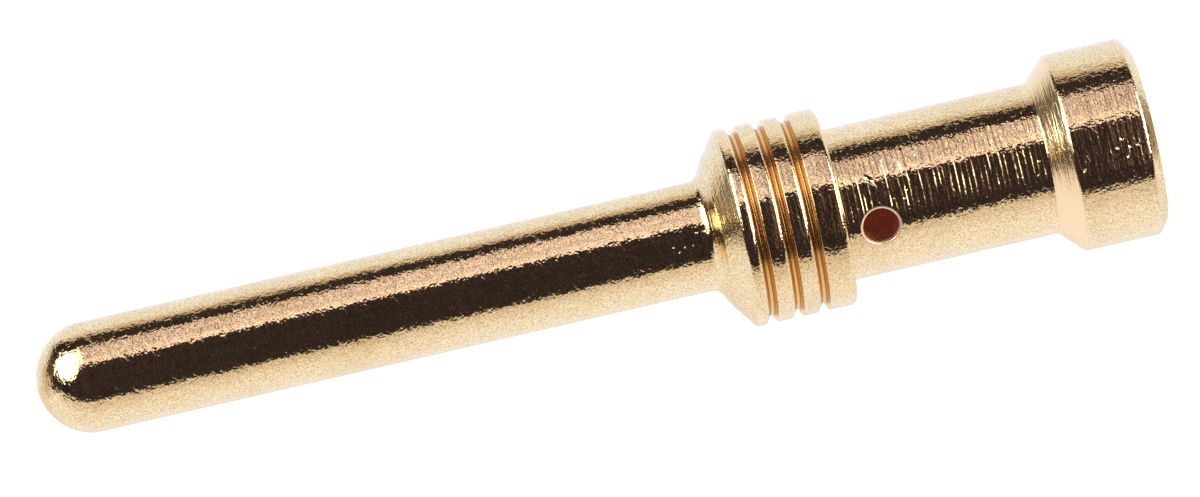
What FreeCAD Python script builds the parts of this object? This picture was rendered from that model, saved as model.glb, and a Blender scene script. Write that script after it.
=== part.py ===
import FreeCAD, Part
import math
import os

# Crimp pin contact, turned from one bar and standing on its rear end with the pin pointing up.
# The origin is the middle of the rear end face, and Z is the axis. All lengths are in millimetres.

# Pin
PIN_DIAMETER = 2.5
PIN_LENGTH = 15.31           # from the nose step's foot to the tip
TIP_RADIUS_EXTRA = 0.01      # the ball nose is this much larger than the pin's own radius
PIN_ROOT_FILLET = 0.25

# Collar
COLLAR_DIAMETER = 4.5
COLLAR_LENGTH = 2.29         # the straight part, between the rear shoulder and the nose cone
NOSE_STEP_WIDTH = 0.4        # radial width of the steeper cone around the pin's root, its fillet included
NOSE_STEP_ANGLE = 60.0       # degrees between that cone and the axis
NOSE_CONE_ANGLE = 54.0       # degrees between the nose cone and the axis
COLLAR_FRONT_ROUND = 0.12

# Grooves around the collar, whose number tells the wire size. Their flanks slope.
GROOVE_COUNT = 3
GROOVE_MOUTH_WIDTH = 0.23
GROOVE_FLOOR_WIDTH = 0.08
GROOVE_FLOOR_ROUND = 0.045   # between the floor and each flank
GROOVE_DEPTH = 0.178
GROOVE_PITCH = 0.595
FIRST_GROOVE_SETBACK = 0.36  # from the collar's front edge to the middle of the first groove
LAND_REAR_ROUND = 0.12       # on the rear edge of each land, the collar's rear shoulder included

# Barrel and rim
BARREL_DIAMETER = 3.45
BARREL_LENGTH = 4.745        # the straight part, between the rim's cone and the collar
RIM_DIAMETER = 4.5
RIM_LENGTH = 1.91            # from the rear end face to the edge of the rim's cone
RIM_CONE_ANGLE = 45.0        # degrees between the cone and the axis
RIM_FRONT_ROUND = 0.14
RIM_REAR_ROUND = 0.12
RIM_CHAMFER_LENGTH = 0.205   # along the axis
RIM_CHAMFER_WIDTH = 0.262    # across it

# Wire bore
BORE_DIAMETER = 2.25
BORE_PAST_SHOULDER = 0.32    # how far the full bore runs on past the collar's rear shoulder
DRILL_POINT_ANGLE = 118.0    # degrees across the cone at the bottom of the bore
BORE_MOUTH_CHAMFER = 0.15

# Inspection hole, drilled from the front side into the bottom of the bore
HOLE_DIAMETER = 0.82
HOLE_SETBACK = 0.79          # from the collar's rear shoulder to the middle of the hole
HOLE_LIP_CHAMFER = 0.05

# The small round that the turning tool leaves on every other corner
EDGE_ROUND = 0.03

# Radii
pin_radius = PIN_DIAMETER / 2
tip_radius = pin_radius + TIP_RADIUS_EXTRA
nose_step_radius = pin_radius + NOSE_STEP_WIDTH
collar_radius = COLLAR_DIAMETER / 2
barrel_radius = BARREL_DIAMETER / 2
rim_radius = RIM_DIAMETER / 2
bore_radius = BORE_DIAMETER / 2

# Heights above the rear end face
rim_cone_top = RIM_LENGTH + (rim_radius - barrel_radius) / math.tan(math.radians(RIM_CONE_ANGLE))
shoulder = rim_cone_top + BARREL_LENGTH
collar_front_edge = shoulder + COLLAR_LENGTH
nose_step = collar_front_edge + (collar_radius - nose_step_radius) / math.tan(math.radians(NOSE_CONE_ANGLE))
pin_root = nose_step + NOSE_STEP_WIDTH / math.tan(math.radians(NOSE_STEP_ANGLE))
tip = pin_root + PIN_LENGTH
bore_bottom = shoulder + BORE_PAST_SHOULDER
bore_point = bore_bottom + bore_radius / math.tan(math.radians(DRILL_POINT_ANGLE / 2))
hole_height = shoulder - HOLE_SETBACK


def rounded_edges(corners):
    """Edges in the XZ plane through (radius, height, round) corners, rounded unless the round is zero."""
    points = [FreeCAD.Vector(radius, 0, height) for radius, height, _ in corners]
    edges = []
    start = points[0]
    for before, corner, after, (_, _, round_radius) in zip(points, points[1:], points[2:], corners[1:]):
        if round_radius == 0:
            edges.append(Part.LineSegment(start, corner).toShape())
            start = corner
            continue
        back = (before - corner).normalize()
        ahead = (after - corner).normalize()
        half_angle = back.getAngle(ahead) / 2
        setback = round_radius / math.tan(half_angle)
        middle = (back + ahead).normalize()
        arc_start = corner + back * setback
        arc_middle = corner + middle * (round_radius / math.sin(half_angle) - round_radius)
        arc_end = corner + ahead * setback
        edges.append(Part.LineSegment(start, arc_start).toShape())
        edges.append(Part.Arc(arc_start, arc_middle, arc_end).toShape())
        start = arc_end
    edges.append(Part.LineSegment(start, points[-1]).toShape())
    return edges


def ball_nose():
    """The arc of the tip, from the pin's side up to the axis."""
    centre_height = tip - tip_radius
    side_angle = math.acos(pin_radius / tip_radius)
    middle_angle = (side_angle + math.pi / 2) / 2

    def on_arc(angle):
        return FreeCAD.Vector(tip_radius * math.cos(angle), 0, centre_height + tip_radius * math.sin(angle))

    start = FreeCAD.Vector(pin_radius, 0, centre_height + tip_radius * math.sin(side_angle))
    end = FreeCAD.Vector(0, 0, tip)
    return start, Part.Arc(start, on_arc(middle_angle), end).toShape()


def groove_corners():
    """Corners of the collar's grooves, from the rearmost groove to the front one."""
    floor_radius = collar_radius - GROOVE_DEPTH
    corners = []
    for number in reversed(range(GROOVE_COUNT)):
        middle = collar_front_edge - FIRST_GROOVE_SETBACK - number * GROOVE_PITCH
        corners += [
            (collar_radius, middle - GROOVE_MOUTH_WIDTH / 2, EDGE_ROUND),
            (floor_radius, middle - GROOVE_FLOOR_WIDTH / 2, GROOVE_FLOOR_ROUND),
            (floor_radius, middle + GROOVE_FLOOR_WIDTH / 2, GROOVE_FLOOR_ROUND),
            (collar_radius, middle + GROOVE_MOUTH_WIDTH / 2, LAND_REAR_ROUND),
        ]
    return corners


def turned_body():
    """The whole turned form, bore included, as one half section swept around the axis."""
    nose_start, nose_arc = ball_nose()
    rear_corners = [
        (0, bore_point, 0),
        (bore_radius, bore_bottom, 0),
        (bore_radius, BORE_MOUTH_CHAMFER, 0),
        (bore_radius + BORE_MOUTH_CHAMFER, 0, 0),
        (rim_radius - RIM_CHAMFER_WIDTH, 0, EDGE_ROUND),
        (rim_radius, RIM_CHAMFER_LENGTH, RIM_REAR_ROUND),
        (rim_radius, RIM_LENGTH, RIM_FRONT_ROUND),
        (barrel_radius, rim_cone_top, EDGE_ROUND),
        (barrel_radius, shoulder, EDGE_ROUND),
        (collar_radius, shoulder, LAND_REAR_ROUND),
    ]
    nose_corners = [
        (collar_radius, collar_front_edge, COLLAR_FRONT_ROUND),
        (nose_step_radius, nose_step, EDGE_ROUND),
        (pin_radius, pin_root, PIN_ROOT_FILLET),
        (pin_radius, nose_start.z, 0),
    ]
    section = rounded_edges(rear_corners + groove_corners() + nose_corners)
    axis_edge = Part.LineSegment(FreeCAD.Vector(0, 0, tip), FreeCAD.Vector(0, 0, bore_point)).toShape()
    outline = Part.Wire(section + [nose_arc, axis_edge])
    return Part.Face(outline).revolve(FreeCAD.Vector(0, 0, 0), FreeCAD.Vector(0, 0, 1), 360)


def drill_inspection_hole(body):
    """The cross hole through the barrel's front wall, with its deburred lip."""
    centre = FreeCAD.Vector(0, 0, hole_height)
    drill = Part.makeCylinder(HOLE_DIAMETER / 2, collar_radius, centre, FreeCAD.Vector(0, -1, 0))
    body = body.cut(drill)
    mouth = FreeCAD.Vector(0, -barrel_radius, hole_height)
    lip = min(body.Edges, key=lambda edge: (edge.BoundBox.Center - mouth).Length)
    return body.makeChamfer(HOLE_LIP_CHAMFER, [lip])


def main():
    os.makedirs("parts", exist_ok=True)
    contact = drill_inspection_hole(turned_body())
    contact.exportStep("parts/pin_contact.step")
    print("pin_contact:", len(contact.Solids), "solid,", round(contact.Volume, 2), "mm3,",
          "overall length", round(contact.BoundBox.ZLength, 3), "mm, valid", contact.isValid())


main()
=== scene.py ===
import math
from collections import namedtuple

import bmesh
import bpy
from mathutils import Matrix, Vector


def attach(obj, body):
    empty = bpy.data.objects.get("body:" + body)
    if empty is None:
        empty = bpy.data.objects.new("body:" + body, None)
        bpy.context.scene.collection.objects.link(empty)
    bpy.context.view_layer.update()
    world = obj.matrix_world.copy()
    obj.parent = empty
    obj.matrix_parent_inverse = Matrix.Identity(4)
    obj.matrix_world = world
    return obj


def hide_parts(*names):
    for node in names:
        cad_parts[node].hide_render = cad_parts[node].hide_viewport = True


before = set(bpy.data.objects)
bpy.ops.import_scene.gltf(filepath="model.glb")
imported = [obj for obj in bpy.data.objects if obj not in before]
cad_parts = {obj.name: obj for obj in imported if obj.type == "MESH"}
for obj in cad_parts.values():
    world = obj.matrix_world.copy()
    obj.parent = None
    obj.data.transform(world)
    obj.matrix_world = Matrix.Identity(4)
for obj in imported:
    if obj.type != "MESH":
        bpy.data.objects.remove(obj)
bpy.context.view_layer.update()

# Crimp pin contact: bright gold over turned metal, lit by one soft white tent with a dark opening.
# Lengths are in millimetres here and become metres where the mesh, the nodes and the camera are made.
MM = 0.001

# Pin
PIN_RADIUS = 1.25
PIN_LENGTH = 15.31
TIP_RADIUS = 1.26
PIN_ROOT_FILLET = 0.25

# Collar and its grooves
COLLAR_RADIUS = 2.25
COLLAR_LENGTH = 2.29
NOSE_STEP_WIDTH = 0.4
NOSE_STEP_ANGLE = 60.0
NOSE_CONE_ANGLE = 54.0
COLLAR_FRONT_ROUND = 0.12
GROOVE_COUNT = 3
GROOVE_MOUTH_WIDTH = 0.23
GROOVE_FLOOR_WIDTH = 0.08
GROOVE_FLOOR_ROUND = 0.045
GROOVE_DEPTH = 0.178
GROOVE_PITCH = 0.595
FIRST_GROOVE_SETBACK = 0.36
LAND_REAR_ROUND = 0.12

# Barrel and rim
BARREL_RADIUS = 1.725
BARREL_LENGTH = 4.745
RIM_RADIUS = 2.25
RIM_LENGTH = 1.91
RIM_CONE_ANGLE = 45.0
RIM_FRONT_ROUND = 0.14
RIM_REAR_ROUND = 0.12
RIM_CHAMFER_LENGTH = 0.205
RIM_CHAMFER_WIDTH = 0.262

# Wire bore and inspection hole
BORE_RADIUS = 1.125
BORE_PAST_SHOULDER = 0.32
DRILL_POINT_ANGLE = 118.0
BORE_MOUTH_CHAMFER = 0.15
HOLE_RADIUS = 0.41
HOLE_SETBACK = 0.79
HOLE_LIP = 0.06

# Rounds of the corners that have no larger one
EDGE_ROUND = 0.03

# A point nearer to the axis than this is on it
ON_AXIS = 1e-6

# Mesh density
SEGMENTS = 192
ARC_STEP = 8.0               # degrees of a round between two rows
NOSE_ROWS = 30
BLOCK_COLUMNS = 15           # columns on each side of the hole that give way to its rings
BLOCK_ROWS = 16
BLOCK_HALF_HEIGHT = 0.62
BLEND_RINGS = 5
WALL_RINGS = 4
LIP_RINGS = 5

# Turned noise is long around the axis and short along it. Turns is how often it varies around the axis.
Turned = namedtuple("Turned", "turns pitch detail")
FEED_WANDER = Turned(0.25, 0.3, 1.0)
FEED_PRESENCE = Turned(3.6, 0.16, 0.0)
RIPPLE = Turned(2.0, 0.09, 1.0)
FINE_RIPPLE = Turned(3.0, 0.05, 0.0)
TARNISH = Turned(0.7, 1.1, 2.0)
RADIUS_SLANT = 0.8           # share of the radius by which marks move along, so that steep faces have them

# Marks of the lathe's feed
FEED_PITCH = 0.13
FEED_OVERTONE = 0.4
FEED_WANDER_SPAN = 1.8       # in pitches
FEED_PRESENCE_RANGE = (0.25, 0.7)

# Grain, scratches and pores
GRAIN_PITCH = 0.11
FINE_GRAIN_PITCH = 0.055
SWELL_PITCH = 0.3
SPECK_PITCH = 0.034
SPECK_RANGE = (0.32, 0.6)
TARNISH_RANGE = (0.45, 0.7)
SCRATCH_WIDTH = 0.08
SCRATCH_LENGTH = 0.3
SCRATCH_RISE = 0.5
SCRATCH_SIDE = 0.8
SCRATCH_RANGE = (0.58, 0.7)
PORE_SPACING = 0.6
PORE_SHARE = 0.1             # of the cells hold a pore
PORE_RADIUS = 0.06

# Depths of the marks
FEED_DEPTH = 0.0028
RIPPLE_DEPTH = 0.03
FINE_RIPPLE_DEPTH = 0.0012
GRAIN_DEPTH = 0.0062
FINE_GRAIN_DEPTH = 0.0024
SWELL_DEPTH = 0.005
SCRATCH_DEPTH = 0.0016
PORE_DEPTH = 0.008

# Dents of one size. Lean is in degrees from the axis, and a place is a height and degrees from the camera's
# side.
Dents = namedtuple("Dents", "wall_radius half_length half_width depth lean places")
RIM_PITS = Dents(RIM_RADIUS, 0.06, 0.05, 0.014, 0.0, [
    (0.909, 4.0), (0.775, -0.6), (0.619, 4.5), (0.44, 4.5), (0.704, 10.2), (1.731, 12.6)])
PIN_PITS = Dents(PIN_RADIUS, 0.04, 0.03, 0.009, 0.0, [
    (10.98, 5.0), (10.87, 11.3), (10.73, 7.2), (10.55, 7.2), (10.42, -5.0), (10.24, -5.0)])
BARREL_PITS = Dents(BARREL_RADIUS, 0.045, 0.035, 0.01, 0.0, [
    (5.975, 4.4), (5.751, 5.9), (5.684, 0.0), (3.071, 10.4), (2.714, 11.9), (2.647, 1.5)])
BARREL_NICK = Dents(BARREL_RADIUS, 0.21, 0.08, 0.034, -52.0, [(6.43, -12.8)])

# How much of a mark or a look each zone takes
FEED_SHARES = {"barrel": 1.0, "rim": 0.3, "lands": 0.14, "rim_cone": 0.3, "nose": 0.3}
RIPPLE_SHARES = {"barrel": 0.3, "rim": 0.36, "lands": 0.28, "rim_cone": 0.32, "nose": 0.24, "pin": 0.12}
CALM_SHARES = {"groove": 0.85, "nose_step": 0.85, "rim_cone": 0.7}
ROUGHNESS_SHARES = {"groove": 0.17, "bore": 0.3, "rim_cone": 0.12, "nose": 0.12, "nose_step": 0.06,
                    "lip": 0.2}
BASE_ROUGHNESS = 0.07
# Share of the hole's lip that is not metal, so that it shows bright: a painted highlight
LIP_HIGHLIGHT_NON_METAL = 0.35

# Edges of the zones
ZONE_FADE = 0.04
LIP_FADE = 0.03
PAST_END = 1.0               # how far the end zones run on past the contact
PIN_ZONE_SETBACK = 0.1       # how far down the root fillet the pin's zone begins
GROOVE_ZONE_DEPTH = 0.05     # below the lands
FLOOR_ZONE_DEPTH = 0.13      # below the lands
BORE_ZONE_DEPTH = 0.12       # below the barrel's outside
FLANK_RANGE = (0.015, 0.045)  # from a groove's middle, where the shade of its tip-side flank sets in

# Camera, as turned from the hole's side of the contact
CAMERA_TURN = 23.8
CAMERA_RISE = 4.2
CAMERA_ROLL = 12.945
CAMERA_DISTANCE = 520.0
FRAME_WIDTH = 26.75
SENSOR_WIDTH = 36.0
AIM_HEIGHT = 12.504
AIM_SIDE = 0.2411
CLIP_START = 10.0
CLIP_END = 3000.0

# Light, all linear colours
TENT_WHITE = (1.03, 1.02, 1.19)
TENT_TOP_WHITE = (1.01, 1.1, 1.38)
TENT_UNDER_WHITE = (1.07, 1.12, 1.38)
TENT_LOW_WHITE = (0.95, 0.92, 0.9)
TENT_GAP = (0.74, 0.67, 0.62)
TENT_SHADE = (0.45, 0.38, 0.34)
UPPER_SHADE = (0.62, 0.52, 0.45)
LOWER_SHADE = (0.83, 0.77, 0.8)
OPENING_DARK = (0.02, 0.016, 0.021)
OPENING_LIT = (0.058, 0.045, 0.06)
UPPER_BROWN = (0.12, 0.09, 0.07)
OPENING_BROWN = (0.06, 0.045, 0.04)
OPENING_VEIL = (0.15, 0.105, 0.105)
UPPER_VEIL = (0.055, 0.04, 0.045)
SKIN_MAUVE = (0.16, 0.12, 0.14)
SKIN_PINK = (1.22, 1.07, 1.28)
SKIN_DEEP = (0.45, 0.34, 0.38)
SKIN_GLOW = (2.0, 1.8, 2.0)
SKIN_EDGE = (1.5, 1.28, 1.42)
HOT_LIGHT = (3.4, 3.4, 3.6)
LOW_HOT_LIGHT = (4.6, 4.5, 4.8)
WARM_LIGHT = (1.4, 1.22, 1.26)

# Plating, as linear colours, then painted shade, a painted glow and a painted highlight
GOLD = (0.96, 0.76, 0.42)
GOLD_SPECK = (0.61, 0.42, 0.18)
GOLD_TARNISH = (0.9, 0.69, 0.36)
CONE_GOLD = (0.9, 0.67, 0.35)
# Painted shade: the grooves are darker and deeper gold than the plating, most on their floors and tip-side
# flanks
GROOVE_SHADED_GOLD = (0.96, 0.66, 0.3)
GROOVE_FLOOR_SHADED_GOLD = (0.76, 0.45, 0.15)
GROOVE_SHADE = (0.53, 0.31, 0.14)
# Painted shade and a painted red glow inside the bore and the hole
BORE_PAINTED_SHADE = (0.6, 0.36, 0.26)
BORE_GLOW = (0.034, 0.008, 0.005)
# Painted highlight: the hole's lip is cream and partly not metal, so that it shows bright all round its edge
LIP_HIGHLIGHT_CREAM = (0.85, 0.62, 0.38)

# Floor
FLOOR_RADIUS = 2000.0
FLOOR_WHITE = (0.9, 0.9, 0.9)
FLOOR_GLOW_COLOUR = (1.0, 1.0, 1.0)
FLOOR_GLOW = 0.6
BACKDROP_WHITE = (1.0, 1.0, 1.0)

# Directions in the tent are degrees around the axis, from the camera's side to the lower edge of the picture,
# and degrees of height towards the tip. These are the fades of its whites, its shades and its opening.
TOP_WHITE_RANGE = (-118, -90)
UNDER_WHITE_RANGE = (78, 108)
LOW_WHITE_RANGE = (142, 168)
UPPER_SHADE_RANGE = (-113, -90)
UPPER_SHADE_BAND = (-200, -40, 40)
LOWER_SHADE_START = (-20, 20)
LOWER_SHADE_END = (56, 86)
OPENING_START = (-93, -88)
OPENING_END = (50, 57)
OPENING_HEIGHTS = (-88, 86, 6)
OPENING_LIFT = 30.0          # how far the opening's upper edge draws aside, within the heights below
OPENING_LIFT_HEIGHTS = (24, 80, 16)
FOLD_SCALE = 15.0
FOLD_DETAIL = 2.0
FOLD_RANGE = (0.4, 0.65)
SKIN_RANGE = (0.41, 0.53)

# Shapes painted on the tent, one over another. A patch has two limits around and two limits of height, a disc
# has its middle and its radius, and an oval has its middle and its half widths, with its fade as a share.
Patch = namedtuple("Patch", "around height fade colour")
Disc = namedtuple("Disc", "around height radius fade colour")
Oval = namedtuple("Oval", "around height half_around half_height fade colour")
TENT_STAINS = [
    Disc(-160, 66, 17, 20, TENT_GAP),
    Disc(-170, -72, 14, 10, TENT_SHADE),
]
OPENING_STAINS = [
    Patch((-40, 34), (-26, -9), 6, OPENING_VEIL),
    Patch((-40, 34), (8, 26), 10, UPPER_VEIL),
    Disc(-111, 64, 14, 11, UPPER_BROWN),
    Disc(0, -90, 14, 4, OPENING_DARK),
    Disc(180, 88, 9, 5, OPENING_BROWN),
]
SKIN = Patch((-66, -27), (-36, 30), 3, SKIN_PINK)
LIGHTS = [
    Patch((-66, -27), (-36, -13), 8, SKIN_DEEP),
    Patch((-68, -26), (11, 27), 6, SKIN_GLOW),
    Patch((-32, -27), (-32, 12), 2, SKIN_EDGE),
    Oval(-44, 49, 41, 24, 0.1, HOT_LIGHT),
    Patch((-32, 24), (-40, -23), 6, WARM_LIGHT),
    Patch((-64, 25), (-80, -32), 5, LOW_HOT_LIGHT),
]

# Heights above the rear end face
rim_cone_top = RIM_LENGTH + (RIM_RADIUS - BARREL_RADIUS) / math.tan(math.radians(RIM_CONE_ANGLE))
shoulder = rim_cone_top + BARREL_LENGTH
collar_front_edge = shoulder + COLLAR_LENGTH
nose_step_radius = PIN_RADIUS + NOSE_STEP_WIDTH
nose_step = collar_front_edge + (COLLAR_RADIUS - nose_step_radius) / math.tan(math.radians(NOSE_CONE_ANGLE))
pin_root = nose_step + NOSE_STEP_WIDTH / math.tan(math.radians(NOSE_STEP_ANGLE))
tip = pin_root + PIN_LENGTH
bore_bottom = shoulder + BORE_PAST_SHOULDER
bore_point = bore_bottom + BORE_RADIUS / math.tan(math.radians(DRILL_POINT_ANGLE / 2))
hole_height = shoulder - HOLE_SETBACK
block_heights = [hole_height + BLOCK_HALF_HEIGHT * (2 * row / BLOCK_ROWS - 1)
                 for row in range(BLOCK_ROWS + 1)]
groove_heights = [collar_front_edge - FIRST_GROOVE_SETBACK - number * GROOVE_PITCH
                  for number in range(GROOVE_COUNT)]

# Directions of the camera frame: near is level towards the camera, side is level to its upper edge
turn = math.radians(CAMERA_TURN)
rise = math.radians(CAMERA_RISE)
near = Vector((math.sin(turn), -math.cos(turn), 0))
side = Vector((math.cos(turn), math.sin(turn), 0))
up = Vector((0, 0, 1))


def rounded_line(corners):
    """Points through (radius, height, round) corners, with an arc wherever the round isn't zero."""
    places = [Vector((radius, height)) for radius, height, _ in corners]
    line = [places[0]]
    for before, corner, after, (_, _, round_radius) in zip(places, places[1:], places[2:], corners[1:]):
        if round_radius == 0:
            line.append(corner)
            continue
        back = (before - corner).normalized()
        ahead = (after - corner).normalized()
        half_angle = back.angle(ahead) / 2
        centre = corner + (back + ahead).normalized() * (round_radius / math.sin(half_angle))
        start = corner + back * (round_radius / math.tan(half_angle)) - centre
        end = corner + ahead * (round_radius / math.tan(half_angle)) - centre
        sweep = start.angle_signed(end)
        steps = max(2, math.ceil(math.degrees(abs(sweep)) / ARC_STEP))
        for step in range(steps + 1):
            line.append(centre + Matrix.Rotation(-sweep * step / steps, 2) @ start)
    line.append(places[-1])
    return line


def groove_corners():
    """Corners of the collar's grooves, from the rearmost groove to the front one."""
    floor_radius = COLLAR_RADIUS - GROOVE_DEPTH
    corners = []
    for middle in reversed(groove_heights):
        corners += [
            (COLLAR_RADIUS, middle - GROOVE_MOUTH_WIDTH / 2, EDGE_ROUND),
            (floor_radius, middle - GROOVE_FLOOR_WIDTH / 2, GROOVE_FLOOR_ROUND),
            (floor_radius, middle + GROOVE_FLOOR_WIDTH / 2, GROOVE_FLOOR_ROUND),
            (COLLAR_RADIUS, middle + GROOVE_MOUTH_WIDTH / 2, LAND_REAR_ROUND),
        ]
    return corners


def section_line():
    """The half section from the bottom of the bore, around the rim and up to the tip."""
    bore_wall = [(BORE_RADIUS, height, 0) for height in reversed(block_heights)]
    barrel_wall = [(BARREL_RADIUS, height, 0) for height in block_heights]
    nose_centre = tip - TIP_RADIUS
    side_angle = math.acos(PIN_RADIUS / TIP_RADIUS)
    corners = [
        (0, bore_point, 0),
        (BORE_RADIUS, bore_bottom, EDGE_ROUND),
        *bore_wall,
        (BORE_RADIUS, BORE_MOUTH_CHAMFER, EDGE_ROUND),
        (BORE_RADIUS + BORE_MOUTH_CHAMFER, 0, EDGE_ROUND),
        (RIM_RADIUS - RIM_CHAMFER_WIDTH, 0, EDGE_ROUND),
        (RIM_RADIUS, RIM_CHAMFER_LENGTH, RIM_REAR_ROUND),
        (RIM_RADIUS, RIM_LENGTH, RIM_FRONT_ROUND),
        (BARREL_RADIUS, rim_cone_top, EDGE_ROUND),
        *barrel_wall,
        (BARREL_RADIUS, shoulder, EDGE_ROUND),
        (COLLAR_RADIUS, shoulder, LAND_REAR_ROUND),
        *groove_corners(),
        (COLLAR_RADIUS, collar_front_edge, COLLAR_FRONT_ROUND),
        (nose_step_radius, nose_step, EDGE_ROUND),
        (PIN_RADIUS, pin_root, PIN_ROOT_FILLET),
        (PIN_RADIUS, nose_centre + TIP_RADIUS * math.sin(side_angle), 0),
    ]
    line = rounded_line(corners)
    for row in range(1, NOSE_ROWS + 1):
        angle = side_angle + (math.pi / 2 - side_angle) * row / NOSE_ROWS
        line.append(Vector((TIP_RADIUS * math.cos(angle), nose_centre + TIP_RADIUS * math.sin(angle))))
    return line


def add_hole(mesh, outer_loop, inner_loop):
    """Rings from the barrel's open block over the lip and down the hole's wall to the bore's open block."""

    def on_wall(point, wall_radius, depth):
        return Vector((point.x, depth - math.sqrt(wall_radius ** 2 - point.x ** 2), point.y + hole_height))

    def flat(vertex):
        return Vector((vertex.co.x / MM, vertex.co.z / MM - hole_height))

    def on_circle(vertex, radius):
        return flat(vertex).normalized() * radius

    lip_radius = HOLE_RADIUS + HOLE_LIP
    rings = [outer_loop]
    for ring in range(1, BLEND_RINGS + 1):
        share = ring / BLEND_RINGS
        rings.append([on_wall(flat(vertex).lerp(on_circle(vertex, lip_radius), share), BARREL_RADIUS, 0)
                      for vertex in outer_loop])
    for ring in range(1, LIP_RINGS + 1):
        angle = math.pi / 2 * ring / LIP_RINGS
        radius = HOLE_RADIUS + HOLE_LIP * (1 - math.sin(angle))
        depth = HOLE_LIP * (1 - math.cos(angle))
        rings.append([on_wall(on_circle(vertex, radius), BARREL_RADIUS, depth) for vertex in outer_loop])
    lip_foot = rings[-1]
    wall_foot = [on_wall(on_circle(vertex, HOLE_RADIUS), BORE_RADIUS, 0) for vertex in outer_loop]
    for ring in range(1, WALL_RINGS + 1):
        rings.append([top.lerp(foot, ring / WALL_RINGS) for top, foot in zip(lip_foot, wall_foot)])
    for ring in range(1, BLEND_RINGS):
        share = ring / BLEND_RINGS
        rings.append([on_wall(on_circle(outer, HOLE_RADIUS).lerp(flat(inner), share), BORE_RADIUS, 0)
                      for outer, inner in zip(outer_loop, inner_loop)])
    made = [outer_loop]
    for ring in rings[1:]:
        made.append([mesh.verts.new(point * MM) for point in ring])
    made.append(inner_loop)
    count = len(outer_loop)
    for ring, following in zip(made, made[1:]):
        for index in range(count):
            ahead = (index + 1) % count
            mesh.faces.new((ring[index], ring[ahead], following[ahead], following[index]))


def block_rows(line, radius):
    """Indices of the points at the block's heights on the wall of this radius, from the lowest up."""
    return [min(range(len(line)), key=lambda index: (line[index] - Vector((radius, height))).length)
            for height in block_heights]


def build_contact():
    """The whole contact as one closed mesh, swept around the axis, with the hole let into its wall."""
    line = section_line()
    bore_rows = block_rows(line, BORE_RADIUS)
    barrel_rows = block_rows(line, BARREL_RADIUS)
    first_column = SEGMENTS // 2 - BLOCK_COLUMNS
    last_column = SEGMENTS // 2 + BLOCK_COLUMNS

    def open_rows(low, high):
        return [(row, column) for row in range(low, high) for column in range(first_column, last_column)]

    open_quads = set(open_rows(min(bore_rows), max(bore_rows)) + open_rows(barrel_rows[0], barrel_rows[-1]))
    mesh = bmesh.new()
    rings = []
    for row, point in enumerate(line):
        if point.x < ON_AXIS:
            rings.append([mesh.verts.new((0, 0, point.y * MM))] * SEGMENTS)
            continue
        ring = []
        for column in range(SEGMENTS):
            inside = (row - 1, column - 1) in open_quads and (row, column) in open_quads
            angle = math.pi / 2 + math.tau * column / SEGMENTS
            place = Vector((point.x * math.cos(angle), point.x * math.sin(angle), point.y)) * MM
            ring.append(None if inside else mesh.verts.new(place))
        rings.append(ring)
    for row, (ring, following) in enumerate(zip(rings, rings[1:])):
        for column in range(SEGMENTS):
            if (row, column) in open_quads:
                continue
            ahead = (column + 1) % SEGMENTS
            corners = (ring[column], ring[ahead], following[ahead], following[column])
            mesh.faces.new(list(dict.fromkeys(corners)))

    def block_loop(rows):
        bottom = [rings[rows[0]][column] for column in range(first_column, last_column)]
        right = [rings[row][last_column] for row in rows[:-1]]
        top = [rings[rows[-1]][column] for column in range(last_column, first_column, -1)]
        left = [rings[row][first_column] for row in reversed(rows[1:])]
        return bottom + right + top + left

    add_hole(mesh, block_loop(barrel_rows), block_loop(bore_rows))
    bmesh.ops.recalc_face_normals(mesh, faces=mesh.faces[:])
    data = bpy.data.meshes.new("pin_contact_looks")
    mesh.to_mesh(data)
    mesh.free()
    data.shade_smooth()
    piece = bpy.data.objects.new("pin_contact_looks", data)
    bpy.context.collection.objects.link(piece)
    return piece


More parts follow.
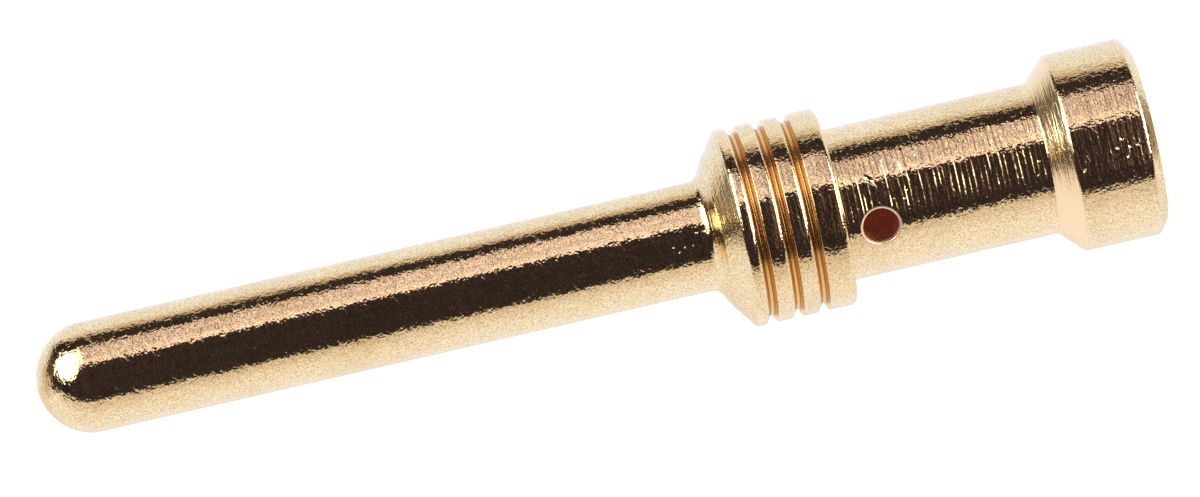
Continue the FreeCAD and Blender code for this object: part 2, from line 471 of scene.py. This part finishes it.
class Graph:
    """Short calls for building one node tree."""

    def __init__(self, tree):
        self.tree = tree
        tree.nodes.clear()

    def node(self, kind, **settings):
        made = self.tree.nodes.new(kind)
        for name, value in settings.items():
            setattr(made, name, value)
        return made

    def feed(self, socket, value):
        if isinstance(value, bpy.types.NodeSocket):
            self.tree.links.new(value, socket)
        else:
            socket.default_value = value

    def math(self, operation, *values):
        made = self.node("ShaderNodeMath", operation=operation)
        for socket, value in zip(made.inputs, values):
            self.feed(socket, value)
        return made.outputs[0]

    def vector_math(self, operation, *vectors):
        made = self.node("ShaderNodeVectorMath", operation=operation)
        for socket, vector in zip(made.inputs, vectors):
            self.feed(socket, vector)
        return made.outputs

    def dot(self, vector, direction):
        return self.vector_math("DOT_PRODUCT", vector, direction)["Value"]

    def split(self, vector):
        made = self.node("ShaderNodeSeparateXYZ")
        self.feed(made.inputs[0], vector)
        return made.outputs

    def joined(self, *parts):
        made = self.node("ShaderNodeCombineXYZ")
        for socket, part in zip(made.inputs, parts):
            self.feed(socket, part)
        return made.outputs[0]

    def noise(self, vector, scale, detail):
        made = self.node("ShaderNodeTexNoise")
        self.feed(made.inputs["Vector"], vector)
        made.inputs["Scale"].default_value = scale
        made.inputs["Detail"].default_value = detail
        return made.outputs[0]

    def rise(self, value, low, high):
        """0 up to low, 1 from high on."""
        made = self.node("ShaderNodeMapRange", interpolation_type="SMOOTHSTEP")
        self.feed(made.inputs["Value"], value)
        made.inputs["From Min"].default_value = low
        made.inputs["From Max"].default_value = high
        return made.outputs[0]

    def fall(self, value, low, high):
        """1 up to low, 0 from high on."""
        return self.math("SUBTRACT", 1.0, self.rise(value, low, high))

    def band(self, value, low, high, fade):
        """1 between low and high, fading to 0 over the fade at each end."""
        rising = self.rise(value, low - fade / 2, low + fade / 2)
        falling = self.rise(value, high - fade / 2, high + fade / 2)
        return self.math("SUBTRACT", rising, falling)

    def product(self, first, *others):
        for other in others:
            first = self.math("MULTIPLY", first, other)
        return first

    def length(self, *parts):
        """The square root of the sum of the squares."""
        total = self.math("MULTIPLY", parts[0], parts[0])
        for part in parts[1:]:
            total = self.math("ADD", total, self.math("MULTIPLY", part, part))
        return self.math("SQRT", total)

    def mix(self, share, first, second):
        made = self.node("ShaderNodeMix", data_type="RGBA")
        self.feed(made.inputs[0], share)
        for socket, value in ((made.inputs[6], first), (made.inputs[7], second)):
            self.feed(socket, (*value, 1) if isinstance(value, tuple) else value)
        return made.outputs[2]


def light_tent():
    """The world: a white tent, its dark opening towards the camera, and bright lights around and in it."""
    world = bpy.data.worlds.new("light_tent")
    bpy.context.scene.world = world
    world.use_nodes = True
    graph = Graph(world.node_tree)
    ray = graph.node("ShaderNodeTexCoord").outputs["Generated"]
    around = graph.math("DEGREES", graph.math("ARCTAN2", graph.dot(ray, -side), graph.dot(ray, near)))
    height = graph.math("DEGREES", graph.math("ARCSINE", graph.dot(ray, up)))

    def patch_mask(patch):
        return graph.product(graph.band(around, *patch.around, patch.fade),
                             graph.band(height, *patch.height, patch.fade))

    def disc_mask(disc):
        azimuth = math.radians(disc.around)
        lift = math.radians(disc.height)
        centre = (math.cos(azimuth) * near - math.sin(azimuth) * side) * math.cos(lift) + math.sin(lift) * up
        angle = graph.math("DEGREES", graph.math("ARCCOSINE", graph.dot(ray, centre)))
        return graph.fall(angle, disc.radius - disc.fade / 2, disc.radius + disc.fade / 2)

    def oval_mask(oval):
        x = graph.math("DIVIDE", graph.math("SUBTRACT", around, oval.around), oval.half_around)
        y = graph.math("DIVIDE", graph.math("SUBTRACT", height, oval.height), oval.half_height)
        return graph.fall(graph.length(x, y), 1 - oval.fade, 1 + oval.fade)

    masks = {Patch: patch_mask, Disc: disc_mask, Oval: oval_mask}

    def paint(colour, shapes):
        for shape in shapes:
            colour = graph.mix(masks[type(shape)](shape), colour, shape.colour)
        return colour

    reach = graph.band(height, *OPENING_HEIGHTS)
    lift = graph.math("MULTIPLY", graph.band(height, *OPENING_LIFT_HEIGHTS), OPENING_LIFT)
    lifted = graph.math("ADD", around, lift)
    colour = graph.mix(graph.rise(around, *TOP_WHITE_RANGE), TENT_TOP_WHITE, TENT_WHITE)
    colour = graph.mix(graph.rise(around, *UNDER_WHITE_RANGE), colour, TENT_UNDER_WHITE)
    colour = graph.mix(graph.rise(around, *LOW_WHITE_RANGE), colour, TENT_LOW_WHITE)
    colour = paint(colour, TENT_STAINS)
    upper_edge = graph.product(graph.rise(lifted, *UPPER_SHADE_RANGE),
                               graph.band(around, *UPPER_SHADE_BAND), reach)
    colour = graph.mix(upper_edge, colour, UPPER_SHADE)
    lower_edge = graph.product(graph.fall(around, *LOWER_SHADE_END),
                               graph.rise(around, *LOWER_SHADE_START), reach)
    colour = graph.mix(lower_edge, colour, LOWER_SHADE)
    folds = graph.noise(ray, FOLD_SCALE, FOLD_DETAIL)
    depths = graph.mix(graph.rise(folds, *FOLD_RANGE), OPENING_DARK, OPENING_LIT)
    opening = graph.product(graph.rise(lifted, *OPENING_START), graph.fall(around, *OPENING_END), reach)
    colour = graph.mix(opening, colour, depths)
    colour = paint(colour, OPENING_STAINS)
    skin = graph.mix(graph.rise(folds, *SKIN_RANGE), SKIN_MAUVE, SKIN.colour)
    colour = graph.mix(patch_mask(SKIN), colour, skin)
    colour = paint(colour, LIGHTS)
    seen_straight = graph.node("ShaderNodeLightPath").outputs["Is Camera Ray"]
    background = graph.node("ShaderNodeBackground")
    graph.feed(background.inputs["Color"], graph.mix(seen_straight, colour, BACKDROP_WHITE))
    output = graph.node("ShaderNodeOutputWorld")
    graph.feed(output.inputs["Surface"], background.outputs[0])


def gold_plating():
    """Bright gold with the marks of its turning and its handling, painted shade that turns the grooves
    browner and the bore copper-red, a painted red glow in the bore and a painted highlight on the hole's lip.
    """
    material = bpy.data.materials.new("gold_plating")
    material.use_nodes = True
    graph = Graph(material.node_tree)
    place = graph.node("ShaderNodeTexCoord").outputs["Object"]
    x, y, height = graph.split(place)
    flat = graph.joined(x, y)
    unit_x, unit_y, _ = graph.split(graph.vector_math("NORMALIZE", flat)["Vector"])
    radius = graph.vector_math("LENGTH", flat)["Value"]
    along = graph.math("SUBTRACT", height, graph.math("MULTIPLY", radius, RADIUS_SLANT))

    def turned_noise(turned):
        vector = graph.joined(graph.math("MULTIPLY", unit_x, turned.turns),
                              graph.math("MULTIPLY", unit_y, turned.turns),
                              graph.math("DIVIDE", along, turned.pitch * MM))
        return graph.noise(vector, 1.0, turned.detail)

    def grain(pitch):
        return graph.noise(place, 1 / (pitch * MM), 1.0)

    def scratches(direction):
        """Noise drawn out along one direction."""
        across = direction.orthogonal().normalized()
        third = direction.cross(across)
        sizes = ((across, SCRATCH_WIDTH), (third, SCRATCH_WIDTH), (direction, SCRATCH_LENGTH))
        parts = [graph.math("DIVIDE", graph.dot(place, axis), size * MM) for axis, size in sizes]
        return graph.rise(graph.noise(graph.joined(*parts), 1.0, 1.0), *SCRATCH_RANGE)

    def pores():
        """Small round dimples, at random places in the cells of a grid."""
        cells = graph.node("ShaderNodeTexVoronoi")
        graph.feed(cells.inputs["Vector"], place)
        cells.inputs["Scale"].default_value = 1 / (PORE_SPACING * MM)
        chosen = graph.math("LESS_THAN", graph.split(cells.outputs["Color"])[0], PORE_SHARE)
        return graph.product(graph.fall(cells.outputs["Distance"], 0.0, PORE_RADIUS / PORE_SPACING), chosen)

    def feed_marks():
        """Even ridges from the lathe's feed, whose height comes and goes around the piece."""
        phase = graph.math("ADD", graph.math("DIVIDE", along, FEED_PITCH * MM),
                           graph.math("MULTIPLY", turned_noise(FEED_WANDER), FEED_WANDER_SPAN))
        slow = graph.math("SINE", graph.math("MULTIPLY", phase, math.tau))
        fast = graph.math("SINE", graph.math("MULTIPLY", phase, 2 * math.tau))
        wave = graph.math("MULTIPLY_ADD", fast, FEED_OVERTONE, slow)
        return graph.product(wave, graph.rise(turned_noise(FEED_PRESENCE), *FEED_PRESENCE_RANGE))

    def dent(dents, height_at, angle):
        """An oval dimple, 1 deep."""
        azimuth = math.radians(angle)
        lean = math.radians(dents.lean)
        outward = math.cos(azimuth) * near - math.sin(azimuth) * side
        long_way = math.cos(lean) * up + math.sin(lean) * outward.cross(up)
        short_way = long_way.cross(outward)
        centre = (dents.wall_radius * outward + height_at * up) * MM
        sizes = ((long_way, dents.half_length), (short_way, dents.half_width), (outward, dents.half_length))
        parts = []
        for way, size in sizes:
            offset = graph.math("SUBTRACT", graph.dot(place, way), centre.dot(way))
            parts.append(graph.math("DIVIDE", offset, size * MM))
        return graph.fall(graph.length(*parts), 0.0, 1.0)

    def within(low, high):
        return graph.band(height, low * MM, high * MM, ZONE_FADE * MM)

    def nearer_than(distance, limit, fade=ZONE_FADE):
        return graph.fall(distance, (limit - fade / 2) * MM, (limit + fade / 2) * MM)

    pin_start = pin_root - PIN_ZONE_SETBACK
    on_grooves = within(groove_heights[-1] - GROOVE_PITCH / 2, groove_heights[0] + GROOVE_PITCH / 2)
    in_groove = graph.product(on_grooves, nearer_than(radius, COLLAR_RADIUS - GROOVE_ZONE_DEPTH))
    groove_floor = graph.product(on_grooves, nearer_than(radius, COLLAR_RADIUS - FLOOR_ZONE_DEPTH))
    from_groove = graph.math("SUBTRACT", height, groove_heights[0] * MM)
    from_groove = graph.math("WRAP", from_groove, GROOVE_PITCH / 2 * MM, -GROOVE_PITCH / 2 * MM)
    tip_flank = graph.product(in_groove, graph.rise(from_groove, *[limit * MM for limit in FLANK_RANGE]))
    in_bore = graph.product(nearer_than(radius, BARREL_RADIUS - BORE_ZONE_DEPTH),
                            graph.math("LESS_THAN", height, bore_point * MM))
    to_hole = graph.vector_math("DISTANCE", graph.joined(x, 0.0, height), (0, 0, hole_height * MM))["Value"]
    on_lip = graph.product(nearer_than(to_hole, HOLE_RADIUS + HOLE_LIP, LIP_FADE),
                           graph.math("LESS_THAN", y, 0.0),
                           graph.math("SUBTRACT", 1.0, in_bore))
    zones = {
        "rim": within(-PAST_END, RIM_LENGTH),
        "rim_cone": within(RIM_LENGTH, rim_cone_top),
        "barrel": within(rim_cone_top, shoulder),
        "lands": within(shoulder, collar_front_edge),
        "nose": within(collar_front_edge, nose_step),
        "nose_step": within(nose_step, pin_start),
        "pin": within(pin_start, tip + PAST_END),
        "groove": in_groove,
        "bore": in_bore,
        "lip": on_lip,
    }

    def weighed(shares, total=0.0):
        """The sum of the zones, each with its own share."""
        for name, share in shares.items():
            total = graph.math("MULTIPLY_ADD", zones[name], share, total)
        return total

    lively = graph.math("SUBTRACT", 1.0, weighed(CALM_SHARES))
    marks = [
        (graph.product(feed_marks(), weighed(FEED_SHARES)), FEED_DEPTH),
        (graph.product(turned_noise(RIPPLE), weighed(RIPPLE_SHARES)), RIPPLE_DEPTH),
        (turned_noise(FINE_RIPPLE), FINE_RIPPLE_DEPTH),
        (graph.product(grain(GRAIN_PITCH), lively), GRAIN_DEPTH),
        (graph.product(grain(FINE_GRAIN_PITCH), lively), FINE_GRAIN_DEPTH),
        (grain(SWELL_PITCH), SWELL_DEPTH),
        (scratches((SCRATCH_RISE * up + SCRATCH_SIDE * side).normalized()), SCRATCH_DEPTH),
        (pores(), -PORE_DEPTH),
    ]
    for dents in (RIM_PITS, PIN_PITS, BARREL_PITS, BARREL_NICK):
        marks += [(dent(dents, *dent_place), -dents.depth) for dent_place in dents.places]
    relief = 0.0
    for field, depth in marks:
        relief = graph.math("MULTIPLY_ADD", field, depth, relief)
    bump = graph.node("ShaderNodeBump")
    graph.feed(bump.inputs["Height"], relief)
    bump.inputs["Strength"].default_value = 1.0
    bump.inputs["Distance"].default_value = MM

    gold = graph.mix(graph.rise(turned_noise(TARNISH), *TARNISH_RANGE), GOLD, GOLD_TARNISH)
    colour = graph.mix(graph.rise(grain(SPECK_PITCH), *SPECK_RANGE), GOLD_SPECK, gold)
    # The rim's cone is a little darker gold, the grooves and the bore get painted shade and the hole's lip a
    # painted highlight
    for zone, zone_colour in (
            (zones["rim_cone"], CONE_GOLD),
            (in_groove, GROOVE_SHADED_GOLD),
            (groove_floor, GROOVE_FLOOR_SHADED_GOLD),
            (tip_flank, GROOVE_SHADE),
            (in_bore, BORE_PAINTED_SHADE),
            (on_lip, LIP_HIGHLIGHT_CREAM)):
        colour = graph.mix(zone, colour, zone_colour)
    shader = graph.node("ShaderNodeBsdfPrincipled")
    graph.feed(shader.inputs["Base Color"], colour)
    # The lip is partly not metal, for its painted highlight
    graph.feed(shader.inputs["Metallic"], graph.math("MULTIPLY_ADD", on_lip, -LIP_HIGHLIGHT_NON_METAL, 1.0))
    graph.feed(shader.inputs["Roughness"], weighed(ROUGHNESS_SHARES, BASE_ROUGHNESS))
    graph.feed(shader.inputs["Normal"], bump.outputs[0])
    # A painted red glow in the bore, which is no lamp
    shader.inputs["Emission Color"].default_value = (*BORE_GLOW, 1)
    graph.feed(shader.inputs["Emission Strength"], in_bore)
    output = graph.node("ShaderNodeOutputMaterial")
    graph.feed(output.inputs["Surface"], shader.outputs[0])
    return material


def pale_floor():
    """A wide white floor that glows a little, so that it fills the picture's background evenly."""
    mesh = bmesh.new()
    bmesh.ops.create_circle(mesh, cap_ends=True, segments=64, radius=FLOOR_RADIUS * MM)
    data = bpy.data.meshes.new("floor")
    mesh.to_mesh(data)
    mesh.free()
    floor = bpy.data.objects.new("floor", data)
    bpy.context.collection.objects.link(floor)
    material = bpy.data.materials.new("floor_white")
    material.use_nodes = True
    graph = Graph(material.node_tree)
    shader = graph.node("ShaderNodeBsdfPrincipled")
    shader.inputs["Base Color"].default_value = (*FLOOR_WHITE, 1)
    shader.inputs["Roughness"].default_value = 1.0
    shader.inputs["Specular IOR Level"].default_value = 0.0
    shader.inputs["Emission Color"].default_value = (*FLOOR_GLOW_COLOUR, 1)
    shader.inputs["Emission Strength"].default_value = FLOOR_GLOW
    output = graph.node("ShaderNodeOutputMaterial")
    graph.feed(output.inputs["Surface"], shader.outputs[0])
    material.cycles.emission_sampling = "NONE"
    data.materials.append(material)
    floor.visible_glossy = False
    floor.visible_shadow = False


def place_camera():
    """A long lens, rolled so that the contact lies across the picture as it does in the photo."""
    roll = math.radians(CAMERA_ROLL)
    back = math.cos(rise) * near + math.sin(rise) * up
    rearward = math.sin(rise) * near - math.cos(rise) * up
    right = math.cos(roll) * rearward - math.sin(roll) * side
    top = math.sin(roll) * rearward + math.cos(roll) * side
    aim = AIM_HEIGHT * up + AIM_SIDE * side
    data = bpy.data.cameras.new("camera")
    data.sensor_width = SENSOR_WIDTH
    data.lens = SENSOR_WIDTH * CAMERA_DISTANCE / FRAME_WIDTH
    data.clip_start = CLIP_START * MM
    data.clip_end = CLIP_END * MM
    camera = bpy.data.objects.new("camera", data)
    bpy.context.collection.objects.link(camera)
    turned = Matrix((right, top, back)).transposed().to_4x4()
    camera.matrix_world = Matrix.Translation((aim + CAMERA_DISTANCE * back) * MM) @ turned
    bpy.context.scene.camera = camera


LIGHT_BOUNCES = 6

scene = bpy.context.scene
scene.view_settings.view_transform = "Standard"
scene.cycles.max_bounces = LIGHT_BOUNCES
scene.cycles.glossy_bounces = LIGHT_BOUNCES
scene.cycles.use_denoising = False

contact = build_contact()
contact.data.materials.append(gold_plating())
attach(contact, "root")
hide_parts("pin_contact")
light_tent()
pale_floor()
place_camera()
